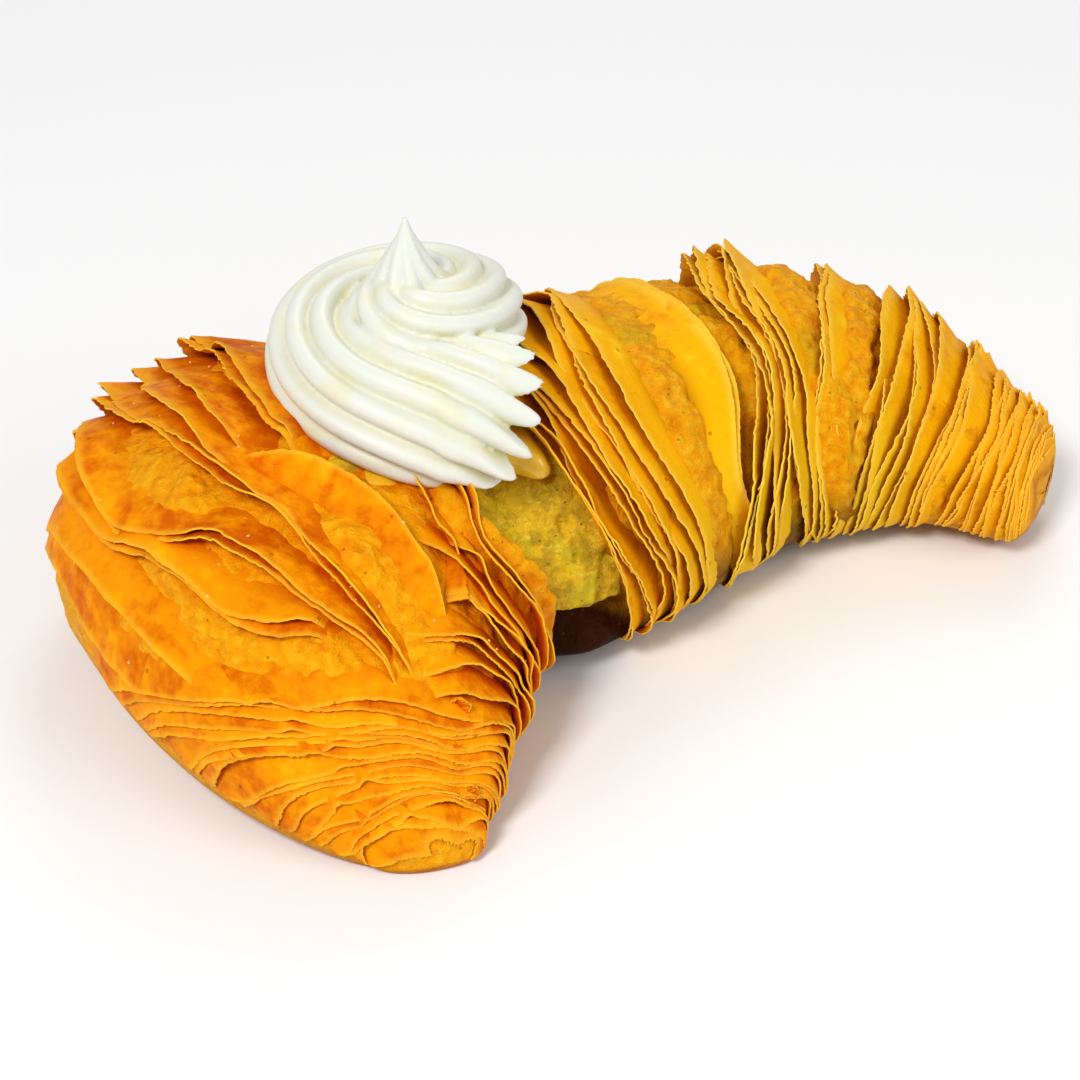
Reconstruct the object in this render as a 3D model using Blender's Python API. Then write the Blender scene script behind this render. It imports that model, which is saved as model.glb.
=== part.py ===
"""Sfogliatella of the lobster-tail kind: a crescent of flaky leaves baked round a choux core,
with a pad of custard in its open top and a piped rosette of cream on the custard.

Metres, +Z up.  The pastry lies on z = 0, its box centred on the origin, with its fat lobe
towards -X and -Y and its thin arm running out to +X.  A place on the crescent is a run, 0 at the near tip to 1 at the far end of
the arm, and an angle round the section, 0 on the concave side, 90 on top, 180 on the outside.
"""

from math import atan2, cos, degrees, pi, radians, sin

import bmesh
import bpy
from mathutils import Vector

MM = 0.001

# The crescent, in mm: run, inner side x and y, direction of the outer side, half width, height
STATIONS = (
    (0.00, -13.6, -55.7, 198, 8.6, 13.3),
    (0.08, -10.7, -51.9, 192, 15.2, 23.8),
    (0.20, -8.8, -44.3, 181, 25.2, 35.2),
    (0.30, -6.8, -35.8, 173, 33.3, 41.8),
    (0.40, -5.0, -26.3, 165, 39.9, 45.6),
    (0.50, -1.2, -19.6, 152, 39.9, 46.6),
    (0.60, 6.5, -17.7, 133, 35.2, 46.6),
    (0.70, 20.8, -7.3, 117, 29.9, 46.6),
    (0.80, 37.8, 9.9, 102, 25.7, 43.7),
    (0.90, 55.8, 16.5, 86, 20.4, 36.1),
    (1.00, 72.0, 12.7, 65, 11.4, 24.7),
)
BELLY = 0.40            # height of the widest point, as a part of the section's height
UPPER_ROUND = 0.95      # 1 is an ellipse, less is squarer
LOWER_ROUND = 0.75
BASE_CUT = 1.2          # how much of the underside is pressed flat, mm
CAP_LENGTH = 4.5        # bulge of the two closed ends, mm
CAP_RINGS = 3
AROUND = 32             # points round a section

# Overlapping leaves: first edge, end of the group, number of leaves, how far an edge stands up in mm
LEAF_GROUPS = (
    (0.012, 0.12, 5, 0.9),
    (0.12, 0.36, 6, 1.8),
    (0.36, 0.425, 2, 1.6),
    (0.575, 0.70, 5, 2.0),
    (0.735, 0.81, 4, 1.8),
    (0.825, 0.855, 2, 1.6),
    (0.885, 0.925, 3, 1.4),
    (0.94, 0.995, 4, 1.0),
)
BAND_DEPTH = 0.8        # the plain bands between the groups lie this much lower, mm
STEP = 0.004            # run over which a leaf's edge drops
LONGEST_SPAN = 0.034    # longest run without a section of its own
EDGE_WAVE = 0.005       # how far the edges wander along the run
EDGE_WAVES = 3

# The gap between the lobe and the arm, where the choux shows
GAP = (0.43, 0.57)
GAP_DEPTH = 8.0
GAP_ANGLES = (-22, 12, 100, 128)    # opens, fully open, still open, shut again

# The choux core
CORE_RUN = (0.30, 0.72)
CORE_SECTIONS = 13
CORE_TAPER = 0.07       # run over which the core swells towards the gap
CORE_WALL = 15.0        # pastry round the hidden core, mm
CORE_FLOOR = 9.0        # pastry under the core, mm
CORE_RECESS = 3.4       # how far the core lies below the leaves in the gap, mm
CLEAR = 0.3             # air between touching pieces, mm

# Custard and cream
TOPPING = Vector((-25.0, 2.2))      # centre of both, mm
CUSTARD_RADIUS = 20.4
CUSTARD_RIPPLE = 0.9
CUSTARD_LOBES = 7
CUSTARD_BOTTOM = 37.6
CUSTARD_TOP = 41.2
CREAM_HEIGHT = 30.5
CREAM_PROFILE = (       # part of the height, radius in mm
    (0.00, 18.6), (0.10, 21.4), (0.22, 22.3), (0.36, 20.8), (0.50, 17.6),
    (0.63, 13.2), (0.74, 8.4), (0.85, 4.3), (0.94, 1.7), (1.00, 0.5),
)
CREAM_TURNS = 1.8
CREAM_GROOVE = 1.5      # depth of the seam between the turns, mm
CREAM_RIBS = 12
CREAM_RIB = 0.9         # height of a rib, mm
CREAM_TWIST = 1.9       # radians the ribs lean from foot to tip
CREAM_AROUND = 48
CREAM_LEVELS = 20


def hermite(rows, at):
    """Read a smooth curve through rows of (position, values...)."""
    places = [row[0] for row in rows]
    last = len(rows) - 1

    def slope(index):
        low, high = max(index - 1, 0), min(index + 1, last)
        span = places[high] - places[low]
        return [(b - a) / span for a, b in zip(rows[low][1:], rows[high][1:])]

    index = min(max(sum(1 for place in places if place <= at) - 1, 0), last - 1)
    width = places[index + 1] - places[index]
    t = (at - places[index]) / width
    h00, h10 = 2 * t**3 - 3 * t**2 + 1, t**3 - 2 * t**2 + t
    h01, h11 = 3 * t**2 - 2 * t**3, t**3 - t**2
    start, end = rows[index][1:], rows[index + 1][1:]
    return [
        h00 * a + h10 * width * m + h01 * b + h11 * width * n
        for a, b, m, n in zip(start, end, slope(index), slope(index + 1))
    ]


def smooth_step(low, high, value):
    t = min(max((value - low) / (high - low), 0.0), 1.0)
    return t * t * (3 - 2 * t)


def power(value, exponent):
    """A power that keeps the sign of its base."""
    return (abs(value) ** exponent) * (1 if value >= 0 else -1)


def section_point(run, angle, lift, floor_lift=None):
    """A point of the crescent's skin, moved out by lift; the underside moves by floor_lift."""
    x, y, bearing, half, height = hermite(STATIONS, run)
    out = Vector((cos(radians(bearing)), sin(radians(bearing))))
    belly = BELLY * height
    across, up = cos(angle), sin(angle)
    if up >= 0:
        side = -power(across, UPPER_ROUND) * (half + lift)
        z = belly + power(up, UPPER_ROUND) * (height - belly + lift)
    else:
        under = lift if floor_lift is None else floor_lift
        side = -power(across, LOWER_ROUND) * (half + lift)
        z = belly + power(up, LOWER_ROUND) * (belly + under)
    flat = Vector((x, y)) + out * (half + side)
    return Vector((flat.x, flat.y, max(z - BASE_CUT, 0.0)))


def gap_across(angle):
    """How open the gap is at an angle of the section: 1 where it is fully open."""
    turn = degrees(atan2(sin(angle), cos(angle)))
    shut, open_from, open_to, shut_again = GAP_ANGLES
    return smooth_step(shut, open_from, turn) * (1 - smooth_step(open_to, shut_again, turn))


def leaf_lift(run):
    """How far the leaf at this run stands out: most at its free edge, nothing at its root."""
    for start, end, leaves, lift in LEAF_GROUPS:
        if start <= run < end:
            along = (run - start) / (end - start) * leaves
            return lift * (1 - along % 1.0)
    return -BAND_DEPTH


def section_runs():
    """The runs that get a section: both sides of each leaf's edge, and some in between."""
    steps = [GAP[0], GAP[1] + STEP]
    for start, end, leaves, _ in LEAF_GROUPS:
        steps += [start + (end - start) * n / leaves for n in range(leaves)] + [end]
    runs = {0.0, 1.0}
    for step in steps:
        runs |= {round(step - STEP, 5), round(step, 5)}
    runs = sorted(runs)
    filled = []
    for here, following in zip(runs, runs[1:]):
        parts = int((following - here) / LONGEST_SPAN) + 1
        filled += [here + (following - here) * n / parts for n in range(parts)]
    return filled + [runs[-1]]


def skin_point(run, angle):
    """A point of the pastry's skin with its leaves and its gap."""
    shown = smooth_step(-0.5, 0.6, sin(angle))
    lift = leaf_lift(run) * shown
    if GAP[0] <= run <= GAP[1]:
        lift -= (GAP_DEPTH + lift) * gap_across(angle)
    fade = min(run, 1 - run, 0.05) / 0.05
    wander = EDGE_WAVE * sin(EDGE_WAVES * angle + 40 * run) * shown * fade
    return section_point(run + wander, angle, lift)


def core_point(run, angle, grow):
    """A point of the choux core, which swells to fill the gap."""
    swell = smooth_step(GAP[0] - CORE_TAPER, GAP[0], run)
    swell *= 1 - smooth_step(GAP[1], GAP[1] + CORE_TAPER, run)
    wall = CORE_WALL + (CORE_RECESS - CORE_WALL) * swell * gap_across(angle)
    return section_point(run, angle, grow - wall, grow - CORE_FLOOR)


def new_object(name, mesh, colour=None, roughness=0.6):
    """Put a mesh in the scene, with a material of its own unless it is a cutter."""
    obj = bpy.data.objects.new(name, mesh)
    bpy.context.scene.collection.objects.link(obj)
    if colour is None:
        obj.hide_render = True
        obj.display_type = "WIRE"
        return obj
    material = bpy.data.materials.new(name)
    material.use_nodes = True
    shader = material.node_tree.nodes["Principled BSDF"]
    shader.inputs["Base Color"].default_value = (*colour, 1.0)
    shader.inputs["Roughness"].default_value = roughness
    shader.inputs["Metallic"].default_value = 0.0
    mesh.materials.append(material)
    return obj


def lofted_mesh(name, rings, first_pole, last_pole):
    """Close a list of rings, given in mm, with a point at each end."""
    bm = bmesh.new()
    rows = [[bm.verts.new(point * MM) for point in ring] for ring in rings]
    count = len(rows[0])
    for lower, upper in zip(rows, rows[1:]):
        for n in range(count):
            m = (n + 1) % count
            bm.faces.new((lower[n], lower[m], upper[m], upper[n]))
    for row, pole in ((rows[0], first_pole), (rows[-1], last_pole)):
        tip = bm.verts.new(pole * MM)
        for n in range(count):
            bm.faces.new((row[n], row[(n + 1) % count], tip))
    bmesh.ops.recalc_face_normals(bm, faces=bm.faces)
    bmesh.ops.triangulate(bm, faces=bm.faces)
    mesh = bpy.data.meshes.new(name)
    bm.to_mesh(mesh)
    bm.free()
    mesh.shade_smooth()
    mesh.set_sharp_from_angle(angle=radians(35))
    return mesh


def centre_of(ring):
    return sum(ring, Vector((0, 0, 0))) / len(ring)


def end_cap(ring, inward_ring, length):
    """Rings that round off an open end, and the pole that closes them."""
    centre = centre_of(ring)
    outward = centre - centre_of(inward_ring)
    outward.z = 0
    outward.normalize()
    caps = []
    for n in range(1, CAP_RINGS):
        turn = pi / 2 * n / CAP_RINGS
        moved = [centre + (p - centre) * cos(turn) + outward * length * sin(turn) for p in ring]
        caps.append(moved)
    return caps, centre + outward * length


def closed_loft(name, rings, length):
    """A loft with a rounded cap at each end."""
    near_caps, near_pole = end_cap(rings[0], rings[1], length)
    far_caps, far_pole = end_cap(rings[-1], rings[-2], length)
    return lofted_mesh(name, near_caps[::-1] + rings + far_caps, near_pole, far_pole)


def round_angles(count):
    return [2 * pi * n / count for n in range(count)]


def build_pastry_skin():
    rings = [[skin_point(run, a) for a in round_angles(AROUND)] for run in section_runs()]
    mesh = closed_loft("pastry", rings, CAP_LENGTH)
    return new_object("pastry", mesh, (0.80, 0.36, 0.035), 0.55)


def build_core(name, grow, colour=None):
    first, last = CORE_RUN
    first, last = first - grow * 0.002, last + grow * 0.002
    runs = [first + (last - first) * n / (CORE_SECTIONS - 1) for n in range(CORE_SECTIONS)]
    rings = [[core_point(run, a, grow) for a in round_angles(AROUND)] for run in runs]
    return new_object(name, closed_loft(name, rings, 1.5 + grow), colour, 0.5)


def custard_ring(radius, ripple, height):
    ring = []
    for angle in round_angles(28):
        reach = radius + ripple * sin(CUSTARD_LOBES * angle)
        ring.append(Vector((TOPPING.x + reach * cos(angle), TOPPING.y + reach * sin(angle), height)))
    return ring


def build_custard():
    """A pad with a rippled, rounded edge."""
    middle = (CUSTARD_BOTTOM + CUSTARD_TOP) / 2
    rings = [
        custard_ring(CUSTARD_RADIUS - 2.0, 0.0, CUSTARD_BOTTOM),
        custard_ring(CUSTARD_RADIUS, CUSTARD_RIPPLE, middle),
        custard_ring(CUSTARD_RADIUS - 1.0, CUSTARD_RIPPLE / 2, CUSTARD_TOP),
    ]
    foot = Vector((*TOPPING, CUSTARD_BOTTOM))
    mesh = lofted_mesh("custard", rings, foot, Vector((*TOPPING, CUSTARD_TOP)))
    return new_object("custard", mesh, (0.75, 0.42, 0.05), 0.3)


def build_seat_cutter():
    """The hollow that the custard and the foot of the rosette lie in, open upwards."""
    reach = CUSTARD_RADIUS + CUSTARD_RIPPLE + CLEAR
    widest = max(radius for _, radius in CREAM_PROFILE) + CREAM_RIB + CLEAR
    rings = [
        custard_ring(reach, 0.0, CUSTARD_BOTTOM - CLEAR),
        custard_ring(reach, 0.0, CUSTARD_TOP - 1.0),
        custard_ring(widest, 0.0, CUSTARD_TOP + 1.6),
        custard_ring(widest, 0.0, CUSTARD_TOP + CREAM_HEIGHT),
    ]
    foot = Vector((*TOPPING, CUSTARD_BOTTOM - CLEAR))
    top = Vector((*TOPPING, CUSTARD_TOP + CREAM_HEIGHT))
    return new_object("seat_cutter", lofted_mesh("seat_cutter", rings, foot, top))


def cream_point(part, angle):
    """Ribs that lean round the rosette, and a seam that climbs between its turns."""
    radius = hermite(CREAM_PROFILE, part)[0]
    thickness = min(radius / 12, 1.0)
    seam = abs(sin(pi * (part * CREAM_TURNS * 1.25 + angle / (2 * pi))))
    radius -= CREAM_GROOVE * thickness * max(1 - 2.6 * seam, 0.0)
    radius += CREAM_RIB * thickness * cos(CREAM_RIBS * angle + CREAM_TWIST * CREAM_RIBS / 4 * part)
    foot = CUSTARD_TOP + CLEAR
    z = foot + CREAM_HEIGHT * part
    return Vector((TOPPING.x + radius * cos(angle), TOPPING.y + radius * sin(angle), z))


def build_cream():
    parts = [n / (CREAM_LEVELS - 1) for n in range(CREAM_LEVELS)]
    rings = [[cream_point(part, a) for a in round_angles(CREAM_AROUND)] for part in parts]
    foot = Vector((*TOPPING, CUSTARD_TOP + CLEAR))
    tip = Vector((*TOPPING, CUSTARD_TOP + CLEAR + CREAM_HEIGHT + 0.4))
    mesh = lofted_mesh("cream_rosette", rings, foot, tip)
    return new_object("cream_rosette", mesh, (0.90, 0.89, 0.80), 0.45)


def cut(obj, cutter):
    """Subtract a cutter for good."""
    modifier = obj.modifiers.new(cutter.name, "BOOLEAN")
    modifier.operation = "DIFFERENCE"
    modifier.solver = "EXACT"
    modifier.object = cutter


def main():
    for obj in list(bpy.data.objects):
        bpy.data.objects.remove(obj)
    pastry = build_pastry_skin()
    core = build_core("choux_core", 0.0, (0.55, 0.36, 0.04))
    core_cutter = build_core("core_cutter", CLEAR)
    seat_cutter = build_seat_cutter()
    custard = build_custard()
    cream = build_cream()
    cut(pastry, core_cutter)
    cut(pastry, seat_cutter)
    cut(core, seat_cutter)
    sfogliatella = bpy.data.objects.new("sfogliatella", None)
    bpy.context.scene.collection.objects.link(sfogliatella)
    for piece in (pastry, core, custard, cream, core_cutter, seat_cutter):
        piece.parent = sfogliatella


main()
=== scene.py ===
from math import cos, pi, radians, sin

import bpy
import numpy as np
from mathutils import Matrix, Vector


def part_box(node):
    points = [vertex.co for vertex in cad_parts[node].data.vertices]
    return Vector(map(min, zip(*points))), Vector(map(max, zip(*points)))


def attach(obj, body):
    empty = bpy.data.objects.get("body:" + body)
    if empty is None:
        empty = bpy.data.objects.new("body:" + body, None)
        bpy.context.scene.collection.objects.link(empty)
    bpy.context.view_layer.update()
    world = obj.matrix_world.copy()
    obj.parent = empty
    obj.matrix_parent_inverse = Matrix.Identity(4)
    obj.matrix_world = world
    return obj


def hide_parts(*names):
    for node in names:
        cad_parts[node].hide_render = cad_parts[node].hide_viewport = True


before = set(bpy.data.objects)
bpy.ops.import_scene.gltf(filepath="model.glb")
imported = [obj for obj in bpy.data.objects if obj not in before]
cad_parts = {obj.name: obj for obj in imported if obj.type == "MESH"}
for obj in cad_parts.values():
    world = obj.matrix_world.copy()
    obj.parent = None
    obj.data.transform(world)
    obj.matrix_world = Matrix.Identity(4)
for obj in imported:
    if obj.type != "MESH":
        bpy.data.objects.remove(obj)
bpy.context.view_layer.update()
scene = bpy.context.scene
mm = 0.001
mmPerRun, mmPerDegree = 200.0, 0.45  # about how long one run and one degree are on the skin

# the crescent that everything follows: run 0 at the near tip to 1 at the far end, then the inner side's x and y,
# the bearing of the outer side, half the width and the height, in mm and degrees
stations = np.array([
    (0.00, -13.6, -55.7, 198, 8.6, 13.3),
    (0.08, -10.7, -51.9, 192, 15.2, 23.8),
    (0.20, -8.8, -44.3, 181, 25.2, 35.2),
    (0.30, -6.9, -35.8, 173, 33.3, 41.8),
    (0.40, -5.0, -26.3, 165, 39.9, 45.6),
    (0.50, -1.2, -19.6, 152, 39.9, 46.6),
    (0.60, 6.5, -17.7, 133, 35.2, 46.6),
    (0.70, 20.8, -7.3, 117, 29.9, 46.6),
    (0.80, 37.9, 9.9, 102, 25.7, 43.7),
    (0.90, 55.9, 16.5, 86, 20.4, 36.1),
    (1.00, 72.1, 12.7, 65, 11.4, 24.7),
])
crescent = {"farLift": 2.6, "liftRun": (0.82, 1.0), "armDip": 0.09, "dipRun": (0.60, 0.76), "belly": 0.40,
            "upperRound": 0.95, "lowerRound": 0.75, "baseCut": 1.2, "capRun": 0.05, "capLength": 4.5,
            "nearBelly": 0.45}


def smoothCurve(rows, at):  # reads rows of (place, values...) at any places, smoothly
    rows = np.asarray(rows, float)
    at = np.asarray(at, float)
    places, values = rows[:, 0], rows[:, 1:]
    slopes = np.gradient(values, places, axis=0)
    index = np.clip(np.searchsorted(places, at, side="right") - 1, 0, len(rows) - 2)
    width = (places[index + 1] - places[index])[..., None]
    t = (at[..., None] - places[index][..., None]) / width
    h00, h10 = 2 * t**3 - 3 * t**2 + 1, t**3 - 2 * t**2 + t
    h01, h11 = 3 * t**2 - 2 * t**3, t**3 - t**2
    return (h00 * values[index] + h10 * width * slopes[index] + h01 * values[index + 1]
            + h11 * width * slopes[index + 1])


def valueAt(rows, angle):  # one value from rows of (angle, value)
    return smoothCurve(rows, np.clip(angle, -60, 240))[..., 0]


def smoothStep(low, high, value):
    t = np.clip((value - low) / (high - low), 0, 1)
    return t * t * (3 - 2 * t)


def hump(value, width):  # 1 at value 0, falling to 0 on both sides
    return np.exp(-(value / width) ** 2)


def keepSign(value, exponent):
    return np.sign(value) * np.abs(value) ** exponent


def halfTurn(angle):  # the same angle between -180 and 180
    return (angle + 180) % 360 - 180


def beyondEnd(run):  # above 0 on the two rounded tips, 1 at their poles
    return np.maximum(-run, run - 1) / crescent["capRun"]


def sectionCentre(run):
    x, y, bearing, half, height = np.moveaxis(smoothCurve(stations, run), -1, 0)
    a = np.radians(bearing)
    level = crescent["belly"] * height - crescent["baseCut"]
    return np.stack([x + np.cos(a) * half, y + np.sin(a) * half, level], -1)


def crescentPoint(run, angle, lift):  # a place on the skin in mm; angle 0 inner side, 90 top, 180 outer side
    run, angle, lift = np.broadcast_arrays(*(np.asarray(value, float) for value in (run, angle, lift)))
    x, y, bearing, half, height = np.moveaxis(smoothCurve(stations, np.clip(run, 0, 1)), -1, 0)
    a, th = np.radians(bearing), np.radians(angle)
    beyond = np.clip(beyondEnd(run), 0, 0.9995)
    height = height * (1 - crescent["armDip"] * smoothStep(*crescent["dipRun"], run))
    belly = crescent["belly"] * height * (1 - crescent["nearBelly"] * beyond * (run < 0))
    across, up = np.cos(th), np.sin(th)
    roundness = np.where(up >= 0, crescent["upperRound"], crescent["lowerRound"])
    side = -keepSign(across, roundness) * (half + lift)
    above, below = height * (1 - crescent["belly"]) + lift, belly + np.minimum(lift, 0.4)
    rise = keepSign(up, roundness) * np.where(up >= 0, above, below)
    shrink = np.sqrt(1 - beyond**2)
    point = np.stack([
        x + np.cos(a) * (half + side * shrink),
        y + np.sin(a) * (half + side * shrink),
        belly + rise * shrink - crescent["baseCut"],
    ], -1)
    for end, step in ((0.0, 0.02), (1.0, -0.02)):
        outward = sectionCentre(np.array(end)) - sectionCentre(np.array(end + step))
        outward[2] = 0
        outward /= np.linalg.norm(outward)
        here = (run < 0) if end == 0.0 else (run > 1)
        point = point + np.where(here, beyond * crescent["capLength"], 0.0)[..., None] * outward
    raised = crescent["farLift"] * smoothStep(*crescent["liftRun"], run)
    point[..., 2] += raised * (1 - 1.4 * smoothStep(0.2, 1.0, up))  # the top comes down as the foot goes up
    point[..., 2] = np.maximum(point[..., 2], 0.0)
    return point


def wave(rng, place, length, parts=3):  # a smooth random line, about -1 to 1
    total = np.zeros_like(place)
    for n in range(parts):
        stretch = length / (1 + 0.7 * n) * rng.uniform(0.8, 1.25)
        total += np.sin(2 * pi * place / stretch + rng.uniform(0, 2 * pi)) / (1 + 0.6 * n)
    return total / 1.6


def meshObject(name, points, faces, values=None):  # points in mm
    mesh = bpy.data.meshes.new(name)
    mesh.from_pydata((np.asarray(points) * mm).tolist(), [], [list(face) for face in faces])
    for key, value in (values or {}).items():
        column = mesh.attributes.new(key, "FLOAT", "POINT").data
        column.foreach_set("value", np.asarray(value, np.float32).ravel())
    mesh.update()
    made = bpy.data.objects.new(name, mesh)
    scene.collection.objects.link(made)
    return made


def gridQuads(rows, columns, start=0, wrap=False):
    r, c = np.meshgrid(np.arange(rows - 1), np.arange(columns if wrap else columns - 1), indexing="ij")
    n = (c + 1) % columns
    corners = [r * columns + c, r * columns + n, (r + 1) * columns + n, (r + 1) * columns + c]
    return (start + np.stack(corners, -1)).reshape(-1, 4)


def loft(name, grid, values):  # closed tube from a grid of rings; each end closes on a point
    rows, columns = grid.shape[:2]
    points = grid.reshape(-1, 3)
    poles = [grid[0].mean(0), grid[-1].mean(0)]
    first, last = len(points), len(points) + 1
    faces = list(gridQuads(rows, columns, wrap=True))
    faces += [(first, (c + 1) % columns, c) for c in range(columns)]
    ring = (rows - 1) * columns
    faces += [(last, ring + c, ring + (c + 1) % columns) for c in range(columns)]
    values = {key: np.append(np.broadcast_to(v, (rows, columns)).ravel(), [v[0, 0], v[-1, 0]])
              for key, v in values.items()}
    made = meshObject(name, np.vstack([points, poles]), faces, values)
    faceOutwards(made)
    return made


def ringGrid(along, columns):  # the grid of a loft: along down the rows, angle round the columns
    return np.meshgrid(along, np.arange(columns) * 360 / columns, indexing="ij")


def faceOutwards(piece):  # turns a closed shape's faces out if its volume comes out negative
    mesh = piece.data
    mesh.calc_loop_triangles()
    corners = np.array([mesh.vertices[i].co for t in mesh.loop_triangles for i in t.vertices]).reshape(-1, 3, 3)
    volume = np.einsum("ij,ij->i", corners[:, 0], np.cross(corners[:, 1], corners[:, 2])).sum()
    if volume < 0:
        mesh.flip_normals()


def settle(piece):  # turns the modifiers' result into a plain mesh
    graph = bpy.context.evaluated_depsgraph_get()
    evaluated = piece.evaluated_get(graph)
    mesh = bpy.data.meshes.new_from_object(evaluated, preserve_all_data_layers=True, depsgraph=graph)
    piece.modifiers.clear()
    piece.data = mesh
    return piece


def mathStep(operation, swapped=False):
    def step(self, other):
        return mathNode(self.tree, operation, *((other, self) if swapped else (self, other)))
    return step


class Wire:  # a node's output that adds and multiplies like a number, each step a Math node
    def __init__(self, tree, socket):
        self.tree, self.socket = tree, socket

    __add__, __radd__ = mathStep("ADD"), mathStep("ADD", True)
    __sub__, __rsub__ = mathStep("SUBTRACT"), mathStep("SUBTRACT", True)
    __mul__, __rmul__ = mathStep("MULTIPLY"), mathStep("MULTIPLY", True)
    __pow__, __rtruediv__ = mathStep("POWER"), mathStep("DIVIDE", True)


def plug(tree, value, socket):  # links a wire to an input, or sets the value on it
    if isinstance(value, Wire):
        tree.links.new(value.socket, socket)
    else:
        socket.default_value = (*value, 1.0) if socket.type == "RGBA" and len(value) == 3 else value


def addNode(tree, kind, inputs=None, **settings):
    made = tree.nodes.new(kind)
    for key, value in settings.items():
        setattr(made, key, value)
    for key, value in (inputs or {}).items():
        plug(tree, value, made.inputs[key])
    return made


def wire(tree, kind, inputs=None, output=0, **settings):
    return Wire(tree, addNode(tree, kind, inputs, **settings).outputs[output])


def mathNode(tree, operation, *values):
    return wire(tree, "ShaderNodeMath", dict(enumerate(values)), operation=operation)


def vectorNode(tree, operation, *values):
    made = addNode(tree, "ShaderNodeVectorMath", operation=operation)
    for index, value in enumerate(values):
        plug(tree, value, made.inputs["Scale" if operation == "SCALE" and index == 1 else index])
    return Wire(tree, made.outputs[0])


def scaled(vector, amount):
    return vectorNode(vector.tree, "SCALE", vector, amount)


def arrow(tree, x=0.0, y=0.0, z=0.0):
    return wire(tree, "ShaderNodeCombineXYZ", {"X": x, "Y": y, "Z": z})


def rangeNode(tree, value, low, high, toLow=0.0, toHigh=1.0, shape="SMOOTHSTEP"):
    return wire(tree, "ShaderNodeMapRange", {"Value": value, "From Min": low, "From Max": high, "To Min": toLow,
                                             "To Max": toHigh}, interpolation_type=shape)


def newTree(name, inputs, outputs, kind="ShaderNodeTree"):  # gives the tree, its inputs as wires, its outputs
    tree = bpy.data.node_groups.new(name, kind)
    for label, socketKind, value in inputs:
        made = tree.interface.new_socket(label, in_out="INPUT", socket_type="NodeSocket" + socketKind)
        if value is not None:
            made.default_value = value
    for label, socketKind in outputs:
        tree.interface.new_socket(label, in_out="OUTPUT", socket_type="NodeSocket" + socketKind)
    start, end = tree.nodes.new("NodeGroupInput"), tree.nodes.new("NodeGroupOutput")
    return tree, {socket.name: Wire(tree, socket) for socket in start.outputs if socket.name}, end.inputs


def geometryTree(name, sizes):  # a mesh in, a mesh out, the named sizes and a finish
    inputs = [("Geometry", "Geometry", None)]
    inputs += [(label, "Int" if isinstance(value, int) else "Float", value) for label, value in sizes.items()]
    inputs.append(("Finish", "Material", None))
    return newTree(name, inputs, [("Geometry", "Geometry")], "GeometryNodeTree")


def finishTree(tree, given, end, geometry):  # every geometry tree ends as plain mesh with its finish on
    real = wire(tree, "GeometryNodeRealizeInstances", {"Geometry": geometry})
    plug(tree, wire(tree, "GeometryNodeSetMaterial", {"Geometry": real, "Material": given["Finish"]}), end[0])
    return tree


def useTree(piece, tree, values):
    modifier = piece.modifiers.new(tree.name, "NODES")
    modifier.node_group = tree
    sockets = {s.name: s.identifier for s in tree.interface.items_tree if s.in_out == "INPUT"}
    for label, value in values.items():
        modifier[sockets[label]] = value


def positionNode(tree):
    return wire(tree, "GeometryNodeInputPosition")


def heightOf(tree, vector):
    return wire(tree, "ShaderNodeSeparateXYZ", {0: vector}, "Z")


def storedValue(tree, name):
    return wire(tree, "GeometryNodeInputNamedAttribute", {"Name": name}, "Attribute", data_type="FLOAT")


def storeValue(tree, geometry, name, value):
    return wire(tree, "GeometryNodeStoreNamedAttribute", {"Geometry": geometry, "Name": name, "Value": value},
                data_type="FLOAT")


def buildRoughenTree():  # lumps, fine grain and pits along the normal, as strong as the "give" attribute
    tree, given, end = geometryTree("roughen", {
        "Lump Height": 0.5, "Lump Size": 5.0, "Grain Height": 0.1, "Grain Size": 1.2, "Pit Depth": 0.0,
        "Pit Size": 4.0, "Seed": 0.0})
    place = positionNode(tree)

    def spread(size):
        return {"Vector": place, "W": given["Seed"], "Scale": 1 / mm / given[size]}

    def bumps(height, size, detail):
        noise = wire(tree, "ShaderNodeTexNoise", {**spread(size), "Detail": detail}, noise_dimensions="4D")
        return (noise - 0.5) * 2.0 * given[height]

    cells = wire(tree, "ShaderNodeTexVoronoi", spread("Pit Size"), "Distance", voronoi_dimensions="4D",
                 feature="SMOOTH_F1")
    pits = rangeNode(tree, cells, 0.12, 0.42, 1.0, 0.0) * given["Pit Depth"]
    total = bumps("Lump Height", "Lump Size", 2.0) + bumps("Grain Height", "Grain Size", 4.0) - pits
    push = scaled(wire(tree, "GeometryNodeInputNormal"), total * storedValue(tree, "give") * mm)
    moved = wire(tree, "GeometryNodeSetPosition", {"Geometry": given["Geometry"], "Offset": push})
    return finishTree(tree, given, end, wire(tree, "GeometryNodeSetShadeSmooth", {"Geometry": moved}))


def mixColour(tree, amount, first, second, blend="MIX"):
    return wire(tree, "ShaderNodeMix", {0: amount, 6: first, 7: second}, 2, data_type="RGBA", blend_type=blend)


def noiseNode(tree, place, size, detail=3.0, rough=0.5, warp=0.0):  # size in mm
    return wire(tree, "ShaderNodeTexNoise", {"Vector": place, "Scale": 1 / (size * mm), "Detail": detail,
                                             "Roughness": rough, "Distortion": warp})


def objectPlace(tree):
    return wire(tree, "ShaderNodeTexCoord", None, "Object")


def attributeNode(tree, name):
    return wire(tree, "ShaderNodeAttribute", None, "Fac", attribute_name=name)


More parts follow.
